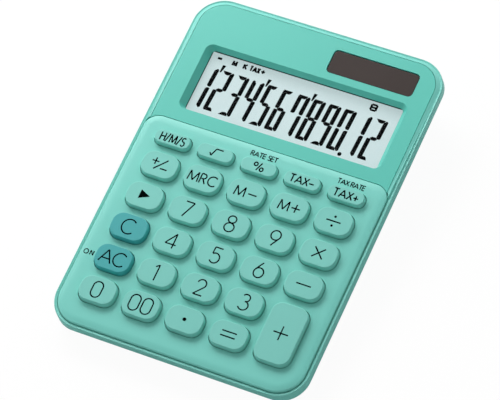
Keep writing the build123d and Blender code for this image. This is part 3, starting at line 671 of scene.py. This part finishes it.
# the number on the display
display = {
    "text": "1'234'567'890.12",
    "firstRight": -35.6,  # right bar of the first figure, at the middle of its height
    "pitch": 6.52,
    "barSpacing": 3.35,
    "bar": 1.74,
    "levelBar": 1.54,
    "tip": 0.5,
    "bottom": 28.35,
    "height": 18.3,
    "middleBar": 9.65,
    "slant": 0.04,
    "gap": 0.08,
    "thickness": 0.02,
    "tick": [(1.25, -1.2), (1.15, 2.15), (2.6, 2.15), (1.85, -1.2)],  # from a figure's top right corner
    "point": (2.05, -0.65),  # from its bottom right corner
    "pointRadius": 0.85,
}
litBars = {
    "0": "abcdef", "1": "bc", "2": "abged", "3": "abgcd", "4": "fgbc",
    "5": "afgcd", "6": "afgedc", "7": "fabc", "8": "abcdefg", "9": "abcdfg",
}
inkLevel = faceBox("lcd_polarizer")[1].z


def inkShape(bm, points):
    # part of a figure: an island of ink that leans as the figures do
    middle = display["bottom"] + display["height"] / 2
    slanted = [(x + display["slant"] * (y - middle), y, inkLevel) for x, y in points]
    inkIsland(bm, slanted, display["thickness"])


def figureBars(bm, bars, right):
    # the bars are named a to g, clockwise from the top, with g in the middle
    bar = display["bar"]
    gap = display["gap"]
    tip = display["tip"]
    outerRight = right + bar / 2
    outerLeft = right - display["barSpacing"] - bar / 2
    low = display["bottom"]
    high = low + display["height"]
    middle = low + display["middleBar"]
    for name in bars:
        if name in "ad":
            # a level bar with a longer outer edge, between the corners
            outer, inward = (high, -1) if name == "a" else (low, 1)
            inner = outer + inward * display["levelBar"]
            inkShape(bm, [
                (outerLeft + gap, outer),
                (outerRight - bar + tip, outer),
                (outerRight - bar + gap, inner - inward * tip),
                (outerRight - bar - tip, inner),
                (outerLeft + bar + tip / 2, inner),
                (outerLeft + bar - tip, inner - inward * tip / 2),
            ])
        elif name == "g":
            half = display["levelBar"] / 2
            inkShape(bm, [
                (outerLeft + 2 * tip, middle),
                (outerLeft + bar + gap, middle + half),
                (outerRight - bar - gap, middle + half),
                (outerRight - 2 * tip, middle),
                (outerRight - bar - gap, middle - half),
                (outerLeft + bar + gap, middle - half),
            ])
        else:
            # an upright bar: its far end leans outwards on the left and stays full on the right
            onRight = name in "bc"
            inward = -1 if onRight else 1
            outer = outerRight if onRight else outerLeft
            inner = outer + inward * bar
            near, far = (middle, high) if name in "bf" else (middle, low)
            away = 1 if far > near else -1
            shoulder = 2 * tip if onRight else 2.6 * tip
            inkShape(bm, [
                (outer, far - away * (tip + gap)),
                (outer, near + away * (tip + gap)),
                (outer + inward * tip / 2, near + away * 3 * gap),
                (inner - inward * tip, near + away * 3 * gap),
                (inner, near + away * 1.6 * tip),
                (inner, far - away * (shoulder + gap)),
                (outer + inward * 1.8 * tip, far - away * 2 * gap),
                (outer + inward * tip, far - away * gap),
            ])


def makeFigures():
    bm = bmesh.new()
    column = -1
    top = display["bottom"] + display["height"]
    for sign in display["text"]:
        right = display["firstRight"] + column * display["pitch"]
        if sign == "'":
            inkShape(bm, [(right + x, top + y) for x, y in display["tick"]])
        elif sign == ".":
            pointX, pointY = display["point"]
            inkShape(bm, dot(right + pointX, display["bottom"] + pointY, display["pointRadius"]))
        else:
            column += 1
            figureBars(bm, litBars[sign], right + display["pitch"])
    bmesh.ops.recalc_face_normals(bm, faces=bm.faces)
    addPiece(bm, "displayFigures", paint["segmentInk"], "case")


makeFigures()

# the small marks above the figures, drawn where they are seen level with the rim
markShift = (-1.54, 1.78)  # from there down to the ink
marks = {
    "displayMarks": {
        "stroke": 0.7,
        "strokes": line(-35.7, 49.15, -33.9, 49.15) + line(-35.7, 49.45, -33.9, 49.45)
        + word("M", -29.1, -27.5, 49.15, 2.1, 0.78) + word("K", -24.4, -23.2, 49.15, 2.1)
        + word("TAX", -21.7, -17.6, 49.15, 2.1, 0.72)
        + line(-17.0, 49.2, -15.4, 49.2) + line(-16.2, 48.4, -16.2, 50.0),
    },
    "boxMark": {
        "stroke": 0.85,
        "strokes": line(29.8, 47.6, 32.0, 47.6, 32.0, 50.0, 29.8, 50.0, 29.8, 47.6)
        + line(29.8, 48.8, 32.0, 48.8),
    },
}
for markName, mark in marks.items():
    bm = strokeMesh(moved(mark["strokes"], *markShift), mark["stroke"], display["thickness"])
    bmesh.ops.translate(bm, vec=(0, 0, inkLevel), verts=bm.verts)
    addPiece(bm, markName, paint["segmentInk"], "case")


# width and corners of the painted shadow round the display window
shadeBorder = {"border": 1.3, "corner": 1.6}


def makeDisplayShadeBorder():
    # painted shadow: a thin dark border on the polarizer, under the lens's edge, standing in for the shadow
    # in the gap below the window's edge
    lensLow, lensHigh = faceBox("display_lens")
    bm = bmesh.new()
    plate = roundedPlate(bm, lensHigh.x - lensLow.x, lensHigh.y - lensLow.y, shadeBorder["corner"], inkLevel)
    bmesh.ops.inset_region(
        bm, faces=[plate], thickness=shadeBorder["border"], use_boundary=True, use_even_offset=True,
    )
    bmesh.ops.delete(bm, geom=[plate], context="FACES")
    pullUp(bm, list(bm.faces), display["thickness"])
    bmesh.ops.recalc_face_normals(bm, faces=bm.faces)
    lensMiddle = (lensLow + lensHigh) / 2
    bmesh.ops.translate(bm, vec=(lensMiddle.x, lensMiddle.y, 0), verts=bm.verts)
    addPiece(bm, "displayShadeBorder", paint["paintedShadeInk"], "case")


makeDisplayShadeBorder()
print("display: figures, marks and mask")


# the rubber sheet and its domes
sheet = {"thickness": 0.7, "corner": 0.8, "smoothAngle": 30}
dome = {
    "base": 3.6,
    "top": 2.0,
    "round": 0.45,
    "roundSteps": 3,
    "sides": 32,
    "smoothAngle": 40,
    "pressed": 0.38,  # share of its height that a pressed dome keeps
}
sheetLow, sheetHigh = faceBox("rubber_keypad")
boardTop = faceBox("circuit_board")[1].z
sheetTop = boardTop + sheet["thickness"]


def makeSheet():
    bm = bmesh.new()
    plate = roundedPlate(bm, sheetHigh.x - sheetLow.x, sheetHigh.y - sheetLow.y, sheet["corner"], boardTop)
    pullUp(bm, [plate], sheet["thickness"])
    middle = (sheetLow + sheetHigh) / 2
    bmesh.ops.translate(bm, vec=(middle.x, middle.y, 0), verts=bm.verts)
    bmesh.ops.recalc_face_normals(bm, faces=bm.faces)
    angle = sheet["smoothAngle"]
    piece = addPiece(bm, "rubberSheet", paint["keyRubber"], "case", smoothAngle=angle)
    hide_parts("rubber_keypad")


def makeDome(nodeName):
    low, high = faceBox(nodeName)
    x, y = (low.x + high.x) / 2, (low.y + high.y) / 2
    rise = sheetHigh.z - sheetTop
    middle = sheetTop + rise / 2
    bm = bmesh.new()
    bmesh.ops.create_cone(
        bm, cap_ends=True, segments=dome["sides"], radius1=dome["base"], radius2=dome["top"], depth=rise,
        matrix=Matrix.Translation((x, y, middle)),
    )
    crown = [edge for edge in bm.edges if all(vert.co.z > middle for vert in edge.verts)]
    bmesh.ops.bevel(
        bm, geom=crown, offset=dome["round"], segments=dome["roundSteps"], profile=0.5,
        affect="EDGES", material=-1,
    )
    angle = dome["smoothAngle"]
    piece = addPiece(
        bm, nodeName + "_dome", paint["keyRubber"], "case", smoothAngle=angle,
    )
    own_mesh(piece)


makeSheet()
for nodeName in keyNames:
    makeDome(nodeName)
print("rubber: sheet and", len(keyNames), "domes")


# floor, light and camera, in metres
studio = {
    "horizon": 0.8,  # light from low down, all round
    "zenith": 0.0,  # light from overhead
    "domeLow": 0.4,  # height in the sky where the light starts to fade, as a sine
    "domeHigh": 0.85,  # and where it has faded
    "floorHalf": 3.0,
    "floorShade": 0.55,  # what the floor gives back to the object
    "floorColour": 0.8,  # its own colour to the camera, where shadows show
    "floorRoughness": 0.9,
    "floorGlow": 0.93,  # share of the floor that is plain white to the camera
    "floorWhite": 1.02,
    "softbox": 0.35,
}
softboxes = {
    "high": {"place": (-0.545, 0.358, 0.545), "watts": 2.3},
    "back": {"place": (-0.358, 0.545, 0.545), "watts": 3.2},
    "low": {"place": (-0.597, 0.511, 0.324), "watts": 0.45},
    "left": {"place": (-0.763, -0.085, 0.365), "watts": 1.1},
    "right": {"place": (0.085, 0.639, 0.554), "watts": 1.0},
}
view = {
    "azimuth": 35.53,  # degrees from the front, towards +X
    "elevation": 56.568,
    "roll": -12.73,
    "distance": 1.2161,
    "target": (0.00184, -0.00366, 0.01568),
    "lens": 232.0,
    "sensor": 36.0,
    "farthest": 10.0,
}


def grey(value):
    return (value, value, value, 1)


def makeFloor():
    bm = bmesh.new()
    bmesh.ops.create_grid(bm, x_segments=1, y_segments=1, size=studio["floorHalf"])
    mesh = bpy.data.meshes.new("floor")
    bm.to_mesh(mesh)
    bm.free()
    floor = bpy.data.objects.new("floor", mesh)
    bpy.context.scene.collection.objects.link(floor)
    material, treeNodes, links, shader = newMaterial("floorPaper")
    shader.inputs["Roughness"].default_value = studio["floorRoughness"]
    shader.inputs["Specular IOR Level"].default_value = 0.0
    glow = treeNodes.new("ShaderNodeEmission")
    glow.inputs["Strength"].default_value = studio["floorWhite"]
    rays = treeNodes.new("ShaderNodeLightPath").outputs
    # reflections see the paper's plain shade here, not its white
    seen = mathNode(treeNodes, links, "MAXIMUM", rays["Is Camera Ray"], rays["Is Transmission Ray"])
    paper = mixColours(treeNodes, links, seen, grey(studio["floorShade"]), grey(studio["floorColour"]))
    links.new(paper, shader.inputs["Base Color"])
    blend = treeNodes.new("ShaderNodeMixShader")
    links.new(mathNode(treeNodes, links, "MULTIPLY", seen, studio["floorGlow"]), blend.inputs["Fac"])
    links.new(shader.outputs[0], blend.inputs[1])
    links.new(glow.outputs[0], blend.inputs[2])
    links.new(blend.outputs[0], treeNodes["Material Output"].inputs["Surface"])
    mesh.materials.append(material)


def makeWorld():
    # a ring of light round the horizon, and plain white to the camera, to metal and to glass
    world = bpy.data.worlds.new("studio")
    bpy.context.scene.world = world
    world.use_nodes = True
    treeNodes = world.node_tree.nodes
    links = world.node_tree.links
    background = treeNodes["Background"]
    background.inputs["Color"].default_value = grey(1)
    place = treeNodes.new("ShaderNodeTexCoord")
    split = treeNodes.new("ShaderNodeSeparateXYZ")
    links.new(place.outputs["Generated"], split.inputs[0])
    sky = treeNodes.new("ShaderNodeMapRange")
    sky.interpolation_type = "SMOOTHSTEP"
    sky.inputs["From Min"].default_value = studio["domeLow"]
    sky.inputs["From Max"].default_value = studio["domeHigh"]
    sky.inputs["To Min"].default_value = studio["horizon"]
    sky.inputs["To Max"].default_value = studio["zenith"]
    links.new(split.outputs["Z"], sky.inputs["Value"])
    rays = treeNodes.new("ShaderNodeLightPath").outputs
    direct = mathNode(treeNodes, links, "MAXIMUM", rays["Is Camera Ray"], rays["Is Glossy Ray"])
    white = mathNode(treeNodes, links, "MAXIMUM", direct, rays["Is Transmission Ray"])
    level = treeNodes.new("ShaderNodeMix")
    links.new(white, level.inputs[0])
    links.new(sky.outputs["Result"], level.inputs[2])
    level.inputs[3].default_value = 1.0
    links.new(level.outputs[0], background.inputs["Strength"])


def makeLight(name, place, watts):
    # a square lamp that faces the object
    lamp = bpy.data.lights.new(name, "AREA")
    lamp.shape = "SQUARE"
    lamp.size = studio["softbox"]
    lamp.energy = watts
    light = bpy.data.objects.new(name, lamp)
    turn = (-Vector(place)).to_track_quat("-Z", "Y").to_matrix().to_4x4()
    light.matrix_world = Matrix.Translation(place) @ turn
    bpy.context.scene.collection.objects.link(light)


def makeCamera():
    azimuth = math.radians(view["azimuth"])
    elevation = math.radians(view["elevation"])
    away = Vector((
        math.sin(azimuth) * math.cos(elevation),
        -math.cos(azimuth) * math.cos(elevation),
        math.sin(elevation),
    ))
    data = bpy.data.cameras.new("camera")
    data.lens = view["lens"]
    data.sensor_width = view["sensor"]
    data.clip_end = view["farthest"]
    camera = bpy.data.objects.new("camera", data)
    turn = away.to_track_quat("Z", "Y").to_matrix().to_4x4()
    roll = Matrix.Rotation(math.radians(view["roll"]), 4, "Z")
    camera.matrix_world = Matrix.Translation(Vector(view["target"]) + away * view["distance"]) @ turn @ roll
    bpy.context.scene.collection.objects.link(camera)
    bpy.context.scene.camera = camera


makeFloor()
makeWorld()
for lightName, softbox in softboxes.items():
    makeLight(lightName, softbox["place"], softbox["watts"])
makeCamera()
bpy.context.scene.view_settings.view_transform = "Standard"
print("studio: ready")
